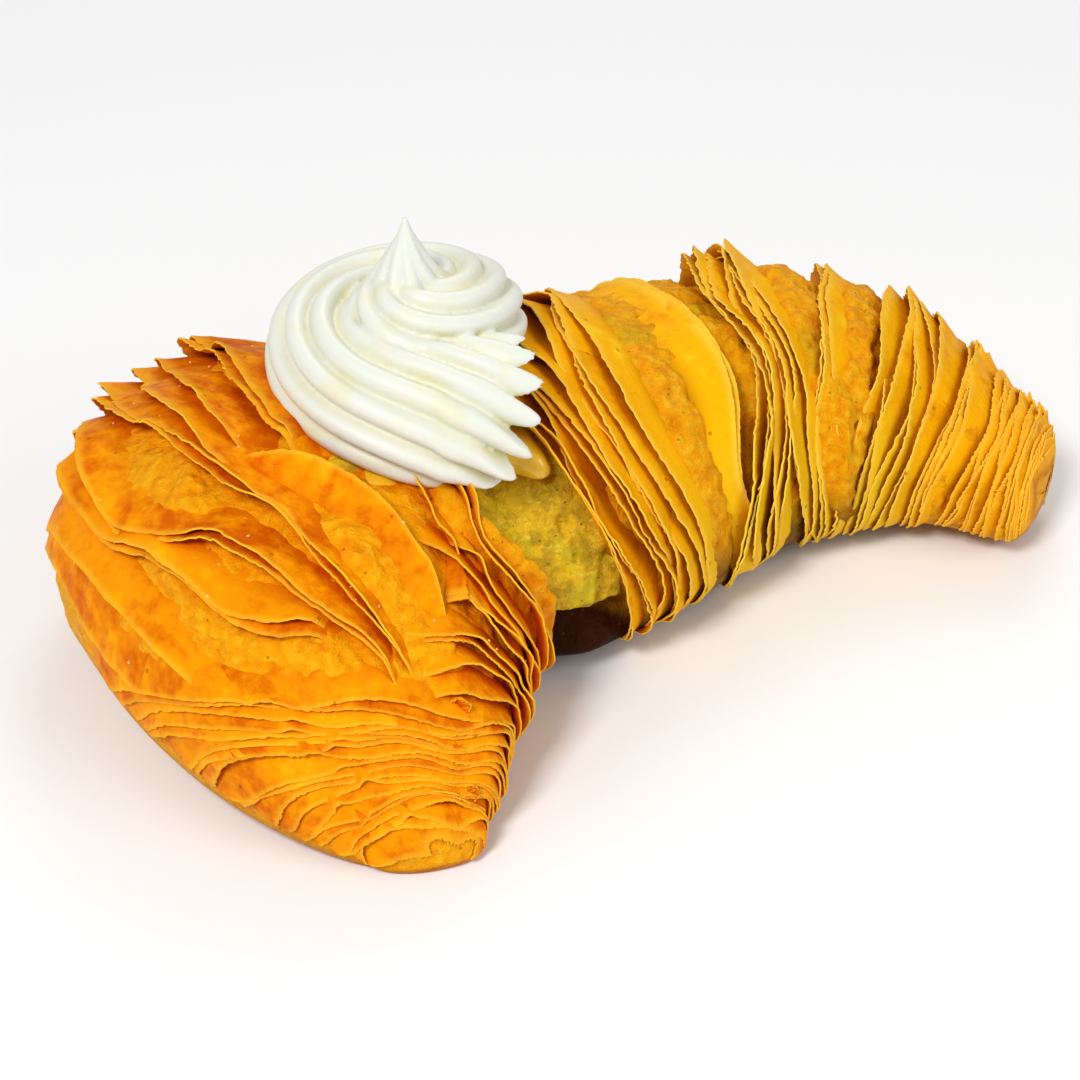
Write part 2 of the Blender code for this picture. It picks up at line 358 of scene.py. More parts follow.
def buildBrowningGroup():  # oven colour: pale dough, gold and toasted patches, at two scales
    white = (1, 1, 1, 1)
    group, given, end = newTree("oven browning", [
        ("Gold", "Color", white), ("Toast", "Color", white), ("Pale", "Color", white), ("Toasting", "Float", 0.5),
        ("Patch Size", "Float", 9.0), ("Drift", "Float", 0.0)], [("Color", "Color")])
    place = vectorNode(group, "ADD", objectPlace(group), arrow(group, given["Drift"]))
    broad = wire(group, "ShaderNodeTexNoise", {"Vector": place, "Scale": 1 / mm / given["Patch Size"],
                                               "Detail": 3.0, "Roughness": 0.6, "Distortion": 0.6})
    both = broad * 0.62 + noiseNode(group, place, 2.2, 4.0, 0.65) * 0.38
    toasted = rangeNode(group, both - (0.78 - given["Toasting"] * 0.42), -0.03, 0.20, 0.0, 0.9)
    paler = rangeNode(group, both, 0.47, 0.30, 0.0, 0.75)
    colour = mixColour(group, paler, given["Gold"], given["Pale"])
    plug(group, mixColour(group, toasted, colour, given["Toast"]), end["Color"])
    return group


def buildSpeckGroup():  # tiny scattered specks
    group, given, end = newTree("specks", [("Size", "Float", 1.2), ("Share", "Float", 0.1)], [("Mask", "Float")])
    cells = addNode(group, "ShaderNodeTexVoronoi", {"Vector": objectPlace(group), "Scale": 1 / mm / given["Size"]})
    near = rangeNode(group, Wire(group, cells.outputs["Distance"]), 0.20, 0.10)
    pick = wire(group, "ShaderNodeSeparateColor", {0: Wire(group, cells.outputs["Color"])})
    plug(group, near * mathNode(group, "LESS_THAN", pick, given["Share"]), end["Mask"])
    return group


def buildHollowShadeGroup():  # painted shade from ambient occlusion: 1 deep between leaves or ribs, where shade falls, 0 in the open
    group, given, end = newTree("shadeInHollows", [("Reach", "Float", 3.0)], [("Mask", "Float")])
    shade = wire(group, "ShaderNodeAmbientOcclusion", {"Distance": given["Reach"] * mm}, "AO", samples=6)
    plug(group, rangeNode(group, shade, 0.85, 0.30), end["Mask"])
    return group


def newMaterial(name, roughness, specular=0.4, **settings):
    material = bpy.data.materials.new(name)
    material.use_nodes = True
    shader = material.node_tree.nodes["Principled BSDF"]
    settings = {"Roughness": roughness, "Specular IOR Level": specular, **settings}
    for label, value in settings.items():
        shader.inputs[label.replace("_", " ")].default_value = value
    return material, material.node_tree, shader


def addBump(tree, shader, height, strength, distance):
    bump = {"Height": height, "Strength": strength, "Distance": distance * mm}
    plug(tree, wire(tree, "ShaderNodeBump", bump), shader.inputs["Normal"])


def addGloss(tree, shader, size, low, high):  # roughness that wanders between two values
    gloss = rangeNode(tree, noiseNode(tree, objectPlace(tree), size), 0.3, 0.7, low, high)
    plug(tree, gloss, shader.inputs["Roughness"])


def addSpecks(tree, specks, colour, look):
    size, share, strength, dark = look
    dots = wire(tree, "ShaderNodeGroup", {"Size": size, "Share": share}, node_tree=specks)
    return mixColour(tree, dots * strength, colour, dark)


def ovenColour(tree, browning, look, tone, toasting, drift=0.0):  # the lobe's colours and the arm's, by tone
    def baked(part):
        values = {label: look[part + label] for label in ("Gold", "Toast", "Pale")}
        values.update({"Toasting": toasting, "Patch Size": look["patchSize"], "Drift": drift})
        return wire(tree, "ShaderNodeGroup", values, node_tree=browning)

    return mixColour(tree, tone, baked("lobe"), baked("arm"))


def byTone(tree, look, tone, ending):
    return mixColour(tree, tone, look["lobe" + ending], look["arm" + ending])


def hollowShadeMask(tree, shadeInHollows, reach):
    return wire(tree, "ShaderNodeGroup", {"Reach": reach}, node_tree=shadeInHollows)


bakedTint = (1.0, 0.62, 0.16, 1.0)  # warm shine of baked dough
leafLook = {
    "lobeGold": (0.91, 0.305, 0.002), "lobeToast": (0.62, 0.098, 0.001), "lobePale": (0.97, 0.46, 0.004),
    "armGold": (0.93, 0.45, 0.003), "armToast": (0.78, 0.28, 0.002), "armPale": (0.98, 0.62, 0.014),
    # the root and hollow colours below are painted shade; the edge colours are partly paler dough, partly painted
    # highlight
    "lobeRootShade": (0.48, 0.075, 0.001), "armRootShade": (0.20, 0.05, 0.001), "olive": (0.82, 0.54, 0.012),
    "lobeEdge": (0.96, 0.54, 0.03), "armEdge": (0.96, 0.64, 0.07), "lobeHollowShade": (0.84, 0.48, 0.3),
    "armHollowShade": (0.76, 0.56, 0.3), "patchSize": 10.0,
    "specks": (2.4, 0.10, 0.5, (0.20, 0.05, 0.002)), "shadeReach": 3.5, "faceRim": 0.5, "cutRim": 0.85,
    "columns": 220, "rows": 9, "sink": 1.7, "slope": 1.1, "thickness": 0.27, "ragged": 0.09, "behind": 0.009,
    "lump": 0.55, "lobeLump": 1.2, "ownWaves": (60.0, 34.0, 16.0), "sharedWaves": (75.0, 38.0), "toothLength": 3.4,
    "rootSlump": 0.8, "sharpAngle": 50, "guidePoints": 40, "cornerFrom": 112, "cornerTo": 150, "cornerLift": 1.6,
    "cornerWidth": 5.0,
    "surface": {"Lump Size": 7.0, "Grain Height": 0.10, "Grain Size": 1.6, "Pit Depth": 0.0},
    "riseAround": [(-60, 0.1), (-25, 0.42), (10, 0.8), (55, 1.0), (95, 1.15), (140, 0.95), (175, 0.6), (200, 0.3),
                   (240, 0.1)],
}


def leafMaterial(name, browning, specks, shadeInHollows, paleLitRimGain):
    look = leafLook
    material, tree, shader = newMaterial(name, 0.55, 0.03, Specular_Tint=bakedTint)
    tone, free, leafId = (attributeNode(tree, key) for key in ("tone", "free", "leafId"))
    amount = 0.62 + leafId * 0.30 - tone * 0.20
    colour = ovenColour(tree, browning, look, tone, amount, leafId * 0.11)
    colour = mixColour(tree, attributeNode(tree, "olive") * 0.7, colour, look["olive"])
    # painted shade: darker toward each leaf's root, in the crevice under the next leaf
    deep = rangeNode(tree, free, 0.66, 0.2) * (0.18 + tone * 0.47)
    colour = mixColour(tree, deep, colour, byTone(tree, look, tone, "RootShade"))
    # painted shade: the colour is multiplied darker and redder in the hollows between leaves
    paintedHollowShade = hollowShadeMask(tree, shadeInHollows, look["shadeReach"])
    colour = mixColour(tree, paintedHollowShade, colour, byTone(tree, look, tone, "HollowShade"), "MULTIPLY")
    # lighter free edges and cut rims: partly the thin dough's paler colour, partly a painted highlight where the
    # edges catch the light
    paleLitRim = rangeNode(tree, free, 0.86, 1.0) * paleLitRimGain
    colour = mixColour(tree, paleLitRim, colour, byTone(tree, look, tone, "Edge"))
    plug(tree, addSpecks(tree, specks, colour, look["specks"]), shader.inputs["Base Color"])
    place = objectPlace(tree)
    addBump(tree, shader, noiseNode(tree, place, 0.9, 4.0, 0.6) + noiseNode(tree, place, 4.0) * 1.2, 0.5, 0.3)
    addGloss(tree, shader, 5.0, 0.38, 0.56)
    return material


def toneAt(run):  # 0 on the lobe, 1 in the middle of the arm
    return smoothStep(0.50, 0.72, run) * (1 - 0.35 * smoothStep(0.88, 0.98, run))


def oliveAt(run, angle):  # undersides of the arm stay greener
    return smoothStep(50, 5, angle) * smoothStep(0.66, 0.74, run) * (1 - smoothStep(0.86, 0.92, run))


def edgeLine(rows):  # rows of (thousandths of a run, angle)
    return np.asarray(rows, float) / (1000, 1)


def leafSheet(edge, leaf, seed, common):  # one leaf: edge line of (run, angle), then back and down to its root
    look = leafLook
    rng = np.random.default_rng(seed)
    u = np.linspace(0, 1, look["columns"])
    v = np.linspace(0, 1, look["rows"]) ** 1.4
    knots = np.append(0, np.cumsum(np.hypot(np.diff(edge[:, 0]) * mmPerRun, np.diff(edge[:, 1]) * mmPerDegree)))
    line = smoothCurve(np.column_stack([knots / knots[-1], edge]), u)
    along = u * knots[-1]
    own = [wave(rng, along, length, 2) for length in look["ownWaves"]]
    shared = [wave(common, along, length, 2) for length in look["sharedWaves"]]
    teeth = wave(rng, along, look["toothLength"], 3) + 0.8 * rng.standard_normal(len(u))
    teeth = teeth * look["ragged"] * rng.uniform(0.5, 1.3)
    taper = leaf.get("taper", 0.08)
    ends = smoothStep(0, taper, u) * smoothStep(0, taper, 1 - u)
    sideways = shared[0] * 0.9 + own[0] * 0.45 + own[1] * 0.18 + own[2] * 0.07
    sideways = sideways * leaf.get("sway", 1.0) + teeth
    loosen = 1 + leaf.get("loose", 0.3) * (shared[1] + 0.5 * own[1])
    rise = leaf["rise"] * np.clip(loosen, 0.2, 1.8) * valueAt(look["riseAround"], line[:, 1])
    free = 1 - v[None, :]
    rootRun, rootAngle = leaf["root"]
    swing = np.sign(rootRun) * sideways[:, None] / mmPerRun * free**1.5
    run = line[:, 0, None] + rootRun * v[None, :] + swing
    angle = line[:, 1, None] + rootAngle * v[None, :]
    sink = look["sink"]
    lift = -sink + (rise[:, None] + sink) * free ** look["slope"]
    if "flick" in leaf:  # a corner that springs up over the back
        place, height, width = leaf["flick"]
        lift += height * hump(angle - place, width) * free**1.5
    lift += leaf.get("curl", 0.5) * np.clip(own[1] + 0.3, 0, 2)[:, None] * np.exp(-v[None, :] / 0.10)
    lift = lift * ends[:, None] - (1 - ends[:, None]) * (sink + look["rootSlump"])
    points = crescentPoint(run, angle, lift)
    centre = sectionCentre(np.clip(run, 0, 1))
    rowStep, columnStep = np.gradient(points, axis=0), np.gradient(points, axis=1)
    flip = (np.cross(rowStep, columnStep) * (points - centre)).sum() > 0
    free = np.broadcast_to(free, run.shape)
    values = {"free": free, "leafId": np.full(run.shape, rng.random()), "tone": toneAt(run),
              "olive": oliveAt(run, angle), "give": 0.35 + 0.65 * free}
    return points, values, flip


def leafPiece(name, sheets, finishes, roughenTree, seed):  # thin closed leaves joined in one piece
    look = leafLook
    allPoints, allQuads, columns, start = [], [], {}, 0
    for points, values, flip in sheets:
        quads = gridQuads(*points.shape[:2], start)
        allQuads.append(quads if flip else quads[:, ::-1])
        allPoints.append(points.reshape(-1, 3))
        for key, value in values.items():
            columns.setdefault(key, []).append(value.ravel())
        start += len(allPoints[-1])
    columns = {key: np.concatenate(value) for key, value in columns.items()}
    piece = meshObject(name, np.vstack(allPoints), np.vstack(allQuads), columns)
    for finish in finishes:
        piece.data.materials.append(finish)
    own = {"Lump Height": look["lobeLump" if name == "lobeLeaves" else "lump"], "Seed": float(seed)}
    useTree(piece, roughenTree, {**look["surface"], **own, "Finish": finishes[0]})
    wall = piece.modifiers.new("wall", "SOLIDIFY")
    wall.thickness = look["thickness"] * mm
    wall.offset = -1.0
    wall.material_offset_rim = 1
    settle(piece)
    piece.data.set_sharp_from_angle(angle=radians(look["sharpAngle"]))
    return piece


def layersOf(leaf, seed):  # one leaf, or a few thin ones lying just behind each other
    sheets = []
    for n in range(leaf.get("layers", 1)):
        behind = np.sign(leaf["root"][0]) * np.array([leafLook["behind"], 0]) * n
        own = dict(leaf, rise=leaf["rise"] + 0.45 * n)
        common = np.random.default_rng(seed + 500)
        sheets.append(leafSheet(edgeLine(leaf["edge"]) + behind, own, seed + 37 * n, common))
    return sheets


def stackOf(stack, seed):  # leaves fanned between two edge lines, closing and opening
    look, leaf, count = leafLook, stack["leaf"], stack["count"]
    u = np.linspace(0, 1, look["guidePoints"])
    first, last = (smoothCurve(np.column_stack([np.linspace(0, 1, len(edge)), edge]), u)
                   for edge in (edgeLine(stack["first"]), edgeLine(stack["last"])))
    rng = np.random.default_rng(seed)
    sheets = []
    for n in range(count):
        t = n / max(count - 1, 1) + rng.uniform(-0.25, 0.25) / count
        drift = t + wave(rng, u * 100, 80.0) * leaf.get("drift", 0.9) / count
        line = first + (last - first) * np.clip(drift, -0.03, 1.03)[:, None]
        rise = leaf["rise"] * rng.uniform(0.8, 1.15)
        corner = rng.uniform(look["cornerFrom"], look["cornerTo"])
        flick = (corner, rng.uniform(0.0, look["cornerLift"]), look["cornerWidth"])
        own = dict(leaf, rise=rise, flick=flick)
        sheets.append(leafSheet(line, own, seed * 100 + n, np.random.default_rng(seed)))
    return sheets


def armEdge(*runs):
    return list(zip(runs, (-52, -5, 25, 55, 85, 110, 140, 175, 205)))


# the leaves from the near tip to the far end: edge lines of (thousandths of a run, angle), then how the leaf goes
# back to its root in run and degrees, how high it stands, and how it sways, curls, tapers and springs up
tipStack = {
    "first": [(-36, -30), (-41, 0), (-44, 30), (-45, 60), (-45, 90), (-43, 120), (-38, 150), (-20, 185), (0, 215)],
    "last": [(200, -30), (185, 0), (122, 30), (84, 60), (96, 90), (115, 120), (170, 150), (250, 180), (300, 200)],
    "count": 19, "leaf": {"rise": 0.8, "root": (0.06, 0), "sway": 0.42, "curl": 0.12, "loose": 0.5},
}
lobeLeaves = [
    {"edge": [(470, 205), (430, 188), (360, 172), (310, 174), (250, 175), (200, 173), (150, 170)],
     "root": (0.03, -24), "rise": 0.5, "taper": 0.3},
    {"edge": [(460, 206), (420, 184), (370, 163), (330, 158), (278, 154), (235, 152), (190, 151), (150, 148),
              (115, 142)], "root": (0.04, -24), "rise": 0.6, "taper": 0.3},
    {"edge": [(480, 212), (460, 180), (418, 156), (355, 147), (308, 142), (275, 131), (238, 125), (200, 120),
              (180, 108), (178, 96), (182, 87)], "root": (0.05, -13), "rise": 1.4, "layers": 2},
    {"edge": [(500, 212), (480, 178), (440, 151), (408, 143), (358, 139), (310, 136), (290, 126), (272, 114),
              (235, 103), (175, 90), (148, 83), (112, 78), (96, 70)], "root": (0.05, -10), "rise": 1.7,
              "layers": 2, "taper": 0.16, "flick": (160, 2.5, 7)},
    {"edge": [(510, 208), (500, 172), (460, 146), (420, 129), (390, 115), (355, 107), (322, 102), (292, 93),
              (245, 89), (200, 83), (160, 77), (140, 69), (130, 60)], "root": (0.05, -8), "rise": 2.0, "curl": 0.9,
              "layers": 2, "taper": 0.16, "flick": (150, 2.8, 6)},
    {"edge": [(535, 208), (520, 172), (485, 140), (445, 125), (398, 110), (360, 104), (330, 97)],
     "root": (0.06, -10), "rise": 2.3, "curl": 1.6, "flick": (146, 3.6, 6)},
    {"edge": [(550, 205), (530, 168), (500, 138), (440, 112), (400, 103), (365, 94)], "root": (0.05, -9),
     "rise": 1.9, "curl": 1.3, "flick": (140, 3.2, 5)},
    {"edge": [(565, 205), (545, 168), (515, 140), (480, 115), (445, 101), (410, 92), (380, 84)],
     "root": (0.055, -8), "rise": 1.9, "curl": 1.3, "layers": 2, "flick": (136, 3.8, 5)},
    {"edge": [(372, 114), (370, 100), (372, 87), (358, 76), (333, 67), (298, 61), (265, 56), (240, 50), (222, 42)],
     "root": (-0.032, 5), "rise": 2.1, "curl": 0.1, "sway": 0.4, "taper": 0.30},
    {"edge": [(118, 76), (122, 58), (140, 36), (178, 12), (200, -8), (205, -30)], "root": (0.06, 0), "rise": 1.5,
     "taper": 0.3},
    {"edge": [(150, 78), (148, 58), (166, 36), (200, 12), (215, -8), (220, -30)], "root": (0.06, 0), "rise": 1.4,
     "taper": 0.3},
    {"edge": [(188, 74), (182, 58), (195, 38), (215, 14), (230, -8), (235, -30)], "root": (0.06, 0), "rise": 1.5,
     "layers": 2, "taper": 0.3},
    {"edge": [(262, 50), (240, 42), (232, 30), (245, 12), (255, -5), (260, -30)], "root": (0.11, 0), "rise": 1.9,
     "curl": 0.6, "layers": 2},
    {"edge": [(100, 46), (108, 51), (116, 57)], "root": (0.014, 0), "rise": 2.2, "sway": 0.0, "taper": 0.3},
    {"edge": [(-6, 34), (1, 40), (8, 47)], "root": (0.014, 0), "rise": 2.0, "sway": 0.0, "taper": 0.3},
]
lipLeaves = [
    {"edge": [(335, 62), (305, 52), (285, 43), (258, 34), (262, 22), (280, 10), (300, 0), (310, -25)],
     "root": (0.065, 0), "taper": 0.2, "rise": 1.8, "curl": 0.8},
    {"edge": [(450, 74), (415, 64), (375, 57), (340, 53), (330, 47), (335, 38)], "root": (0.06, 0), "taper": 0.2,
     "rise": 1.6, "curl": 0.6},
    {"edge": [(345, 54), (325, 44), (300, 35), (298, 22), (313, 8), (325, -5), (330, -25)], "root": (0.065, 0),
     "taper": 0.2, "rise": 1.6, "curl": 0.5},
    {"edge": [(430, 62), (385, 48), (345, 38), (333, 27), (345, 12), (355, -3), (360, -25)], "root": (0.065, 0),
     "taper": 0.2, "rise": 2.2, "curl": 0.9, "layers": 2},
]
armStacks = [
    {"name": "armLeavesFirst", "first": armEdge(640, 605, 560, 562, 550, 560, 575, 590, 600),
     "last": armEdge(670, 660, 630, 620, 635, 648, 655, 660, 665), "count": 7,
     "leaf": {"rise": 3.2, "root": (0.045, 0), "sway": 1.7, "curl": 0.8, "loose": 0.4, "drift": 1.3}},
    {"name": "armLeavesFirst", "first": armEdge(680, 670, 640, 632, 648, 660, 670, 675, 680),
     "last": armEdge(705, 698, 682, 664, 674, 686, 692, 695, 695), "count": 4,
     "leaf": {"rise": 2.5, "root": (0.04, 0), "sway": 1.0, "curl": 0.4}},
    {"name": "armLeavesSecond", "first": armEdge(765, 755, 738, 750, 737, 731, 730, 735, 740),
     "last": armEdge(765, 757, 742, 756, 743, 735, 735, 740, 745), "count": 2,
     "leaf": {"rise": 2.2, "root": (-0.05, 0), "sway": 1.2, "curl": 0.6}},
    {"name": "armLeavesSecond", "first": armEdge(735, 735, 745, 765, 757, 765, 770, 770, 770),
     "last": armEdge(815, 810, 805, 800, 797, 796, 800, 800, 800), "count": 9,
     "leaf": {"rise": 3.0, "root": (0.035, 0), "sway": 1.4, "curl": 0.7, "drift": 1.2}},
    {"name": "armLeavesThird", "first": armEdge(820, 815, 810, 820, 832, 845, 850, 850, 850),
     "last": armEdge(835, 830, 828, 832, 840, 852, 860, 860, 860), "count": 4,
     "leaf": {"rise": 2.4, "root": (0.035, 0), "sway": 0.8, "curl": 0.5}},
    {"name": "armLeavesThird", "first": armEdge(835, 838, 848, 870, 880, 885, 890, 890, 890),
     "last": armEdge(885, 888, 905, 920, 922, 920, 920, 920, 920), "count": 7,
     "leaf": {"rise": 2.4, "root": (0.035, 0), "sway": 0.7, "curl": 0.5}},
    {"name": "armLeavesFourth", "first": armEdge(895, 905, 925, 938, 942, 942, 942, 942, 942),
     "last": armEdge(910, 920, 938, 950, 952, 952, 952, 952, 952), "count": 4,
     "leaf": {"rise": 1.9, "root": (0.03, 0), "sway": 0.5, "curl": 0.4}},
    {"name": "armLeavesFourth", "first": armEdge(930, 940, 955, 968, 968, 966, 966, 966, 966),
     "last": armEdge(1010, 1012, 1012, 1010, 1008, 1005, 1005, 1005, 1005), "count": 12,
     "leaf": {"rise": 0.9, "root": (0.025, 0), "sway": 0.45, "curl": 0.15}},
    {"name": "armLeavesFourth", "first": armEdge(1020, 1020, 1020, 1018, 1016, 1015, 1015, 1015, 1015),
     "last": armEdge(*[1034] * 9), "count": 5,
     "leaf": {"rise": 0.4, "root": (0.008, 0), "sway": 0.1, "curl": 0.1}},
]

crustLook = {
    "lobeGold": (0.97, 0.38, 0.003), "lobeToast": (0.80, 0.20, 0.001), "lobePale": (1.0, 0.52, 0.010),
    "armGold": (0.90, 0.38, 0.004), "armToast": (0.72, 0.21, 0.002), "armPale": (0.92, 0.52, 0.016),
    # the near-black underside colour is partly darker baking, partly painted shade
    "green": (0.52, 0.36, 0.005), "base": (0.026, 0.003, 0.002), "patchSize": 5.0,
    "specks": (1.5, 0.16, 0.6, (0.16, 0.04, 0.002)), "shadeReach": 3.0, "shadeShare": 0.8,
    "rows": 395, "upper": 196, "lower": 42, "under": 1.1, "capRows": 9, "footAngle": 184, "footLumps": 1.5,
    "lipRoll": 2.0, "gapMiddle": 0.55, "footBulge": 3.0,
    "surface": {"Lump Height": 1.5, "Lump Size": 4.5, "Grain Height": 1.1, "Grain Size": 2.3, "Pit Depth": 0.9,
                "Pit Size": 3.2, "Seed": 4.0},
    # the gap between the lobe and the arm: where it starts and ends by angle, and the angles where it shuts
    "gapStart": [(-60, 0.47), (-10, 0.46), (5, 0.45), (20, 0.42), (30, 0.405), (44, 0.41), (60, 0.45),
                 (240, 0.47)],
    "gapEnd": [(-60, 0.65), (-15, 0.64), (0, 0.625), (20, 0.605), (50, 0.60), (90, 0.60), (240, 0.60)],
    "gapDepth": 8.0, "gapAngles": (-36, -6, 100, 128),
    # rough bands that swell between the stacks: run at angle 0, 50 and 100, half width, swell in mm
    "bands": [(0.715, 0.703, 0.712, 0.018, 2.2), (0.79, 0.775, 0.752, 0.012, 2.4),
              (0.832, 0.823, 0.820, 0.018, 3.2), (0.842, 0.855, 0.868, 0.015, 3.0),
              (0.893, 0.915, 0.932, 0.010, 1.6), (0.928, 0.952, 0.957, 0.012, 2.0)],
    # rough blistered hollows of the lobe: run, angle, half lengths, swell in mm
    "patches": [(0.280, 76, 0.042, 9, 1.5), (0.330, 113, 0.045, 8, 1.8), (0.255, 128, 0.055, 8, 1.6),
                (0.175, 100, 0.040, 8, 1.5), (0.19, 54, 0.030, 8, 1.3), (0.49, 112, 0.035, 14, 2.0),
                (0.41, 22, 0.040, 30, 1.6), (0.395, 78, 0.020, 12, -2.2)],
}


def crustMaterial(browning, specks, shadeInHollows):
    look = crustLook
    material, tree, shader = newMaterial("blisteredCrust", 0.45, 0.15, Specular_Tint=bakedTint)
    tone, blister = attributeNode(tree, "tone"), attributeNode(tree, "blister")
    place = objectPlace(tree)
    colour = ovenColour(tree, browning, look, tone, 0.44 + blister * 0.10)
    warp = wire(tree, "ShaderNodeTexNoise", {"Vector": place, "Scale": 1 / (2.5 * mm), "Detail": 3.0}, "Color")
    bent = vectorNode(tree, "ADD", place, scaled(warp, 1.6 * mm))
    cells = wire(tree, "ShaderNodeTexVoronoi", {"Vector": bent, "Scale": 1 / (1.7 * mm)}, "Distance",
                 feature="SMOOTH_F1")
    bubbles = noiseNode(tree, place, 1.3, 5.0, 0.7) - cells * 0.9
    # painted shade: the toast colour darkens the sunken parts of the bubbles, following the bump
    sunkShade = rangeNode(tree, bubbles, 0.10, -0.16, 0.0, 0.5)
    colour = mixColour(tree, sunkShade, colour, byTone(tree, look, tone, "Toast"))
    puffed = rangeNode(tree, bubbles, 0.14, 0.34, 0.0, 0.6)
    colour = mixColour(tree, puffed, colour, byTone(tree, look, tone, "Pale"))
    greenish = rangeNode(tree, noiseNode(tree, place, 11.0, 2.0), 0.54, 0.72, 0.0, 0.5)
    colour = mixColour(tree, greenish * tone, colour, look["green"])
    # painted shade in the hollows, in the leaves' hollow tints
    paintedHollowShade = hollowShadeMask(tree, shadeInHollows, look["shadeReach"]) * look["shadeShare"]
    colour = mixColour(tree, paintedHollowShade, colour, byTone(tree, leafLook, tone, "HollowShade"), "MULTIPLY")
    # near-black underside: partly darker baking, partly painted shade
    colour = mixColour(tree, attributeNode(tree, "base"), colour, look["base"])
    plug(tree, addSpecks(tree, specks, colour, look["specks"]), shader.inputs["Base Color"])
    addBump(tree, shader, bubbles, 1.0, 0.75)
    addGloss(tree, shader, 3.0, 0.42, 0.66)
    return material


def gapAcross(turn):  # 1 over the angles where the gap is open
    shut, opens, closes, ends = crustLook["gapAngles"]
    return smoothStep(shut, opens, turn) * (1 - smoothStep(closes, ends, turn))


def gapShare(run, turn):
    first, last = valueAt(crustLook["gapStart"], turn), valueAt(crustLook["gapEnd"], turn)
    opened = gapAcross(turn) * smoothStep(first - 0.004, first + 0.010, run)
    return opened * (1 - smoothStep(last - 0.008, last + 0.004, run))


def buildCrust(roughenTree, finish):
    look, capRun = crustLook, crescent["capRun"]
    cap = np.linspace(0, pi / 2, look["capRows"])
    nearCap, farCap = -capRun * np.cos(cap)[:-1], 1 + capRun * np.sin(cap)[1:]
    nearCap[0], farCap[-1] = -capRun * 0.999, 1 + capRun * 0.999
    rows = np.concatenate([nearCap, np.linspace(0, 1, look["rows"]), farCap])
    turns = np.concatenate([np.linspace(-40, 195, look["upper"], endpoint=False),
                            np.linspace(195, 320, look["lower"], endpoint=False)])
    run, angle = np.meshgrid(rows, turns, indexing="ij")
    turn = halfTurn(angle)
    shown = smoothStep(-0.5, 0.3, np.sin(np.radians(angle)))
    lift = np.full(run.shape, -look["under"])
    for low, middle, high, half, swell in look["bands"]:
        centre = valueAt([(-60, low), (0, low), (50, middle), (100, high), (240, high)], angle)
        lift += swell * np.exp(-((run - centre) / half) ** 4)
    for place, middle, halfRun, halfAngle, swell in look["patches"]:
        lift += swell * np.exp(-((run - place) / halfRun) ** 2 - ((turn - middle) / halfAngle) ** 2)
    blister = np.clip(lift + look["under"], 0, 1.5) / 1.5
    pole = smoothStep(0.55, 0.95, beyondEnd(run))  # 1 at the two tips
    lift += (look["under"] + 0.3) * pole
    outerFoot = hump(angle - look["footAngle"], 13) * (1 - smoothStep(0.34, 0.50, run))
    lift += look["footLumps"] * outerFoot * np.sin(run * 105 + 1.6 * np.sin(run * 37)) * np.sin(run * 61 + 2)
    lift *= shown
    gap = gapShare(run, turn)
    lift -= (look["gapDepth"] + lift) * gap
    lipRoll = hump(run - valueAt(look["gapStart"], turn) + 0.02, 0.018)
    lift += lipRoll * look["lipRoll"] * smoothStep(-20, 10, turn) * (1 - smoothStep(50, 75, turn)) * (1 - gap)
    # near-black underside mask: partly the darker-baked base, partly painted shade under the flanks and at the foot
    # of the gap
    low = smoothStep(-8, -30, turn) * smoothStep(-175, -150, turn)
    nearGap = hump(run - look["gapMiddle"], 0.09)
    lift += look["footBulge"] * nearGap * smoothStep(8, -14, turn) * smoothStep(-85, -50, turn)
    foot = smoothStep(-100, -60, turn)
    gapFoot = nearGap * smoothStep(26, 4, turn) * smoothStep(0.45, 0.50, run) * foot
    base = np.clip(low * (0.25 + 0.75 * nearGap) + gapFoot, 0, 1)
    base = np.where(turn < -100, 0.35 * low, base)
    armFoot = 0.75 * smoothStep(12, -12, turn) * foot * smoothStep(0.64, 0.69, run)
    base = np.maximum(base, armFoot * (1 - smoothStep(0.88, 0.95, run)))
    give = shown * (1 - gap) * (0.5 + 0.5 * blister) * (1 - 0.85 * pole)
    tone = np.maximum(toneAt(run), np.maximum(0.6 * outerFoot, 0.5 * lipRoll * shown))
    values = {"tone": tone, "base": base, "give": give, "blister": blister}
    crust = loft("bakedCrust", crescentPoint(run, angle, lift), values)
    useTree(crust, roughenTree, {**look["surface"], "Finish": finish})
    return settle(crust)


chouxLook = {
    "dark": (0.52, 0.33, 0.003), "gold": (0.88, 0.55, 0.008), "wet": (0.72, 0.60, 0.012),
    "pale": (0.92, 0.74, 0.10), "specks": (1.3, 0.22, 0.7, (0.10, 0.06, 0.002)),
    "run": (0.30, 0.72), "wall": 15.0, "floor": 5.0, "recess": 2.6, "rows": 230, "columns": 170,
    "surface": {"Lump Height": 1.8, "Lump Size": 7.0, "Grain Height": 0.8, "Grain Size": 1.9, "Pit Depth": 1.5,
                "Pit Size": 3.6, "Seed": 9.0},
}


def chouxMaterial(specks):
    look = chouxLook
    material, tree, shader = newMaterial("spongyChoux", 0.42, 0.25)
    place = objectPlace(tree)
    sponge = rangeNode(tree, noiseNode(tree, place, 3.2, 5.0, 0.62, 0.8), 0.34, 0.60)
    colour = mixColour(tree, sponge, look["dark"], look["gold"])
    wet = rangeNode(tree, noiseNode(tree, place, 5.5, 3.0, 0.5, 0.5), 0.50, 0.68)
    colour = mixColour(tree, wet * 0.75, colour, look["wet"])
    pale = rangeNode(tree, noiseNode(tree, place, 1.6, 4.0, 0.6, 1.2), 0.57, 0.72)
    colour = mixColour(tree, pale * 0.8, colour, look["pale"])
    plug(tree, addSpecks(tree, specks, colour, look["specks"]), shader.inputs["Base Color"])
    addBump(tree, shader, noiseNode(tree, place, 0.8, 5.0, 0.65, 0.8) + noiseNode(tree, place, 2.2, 3.0), 0.9, 0.5)
    return material


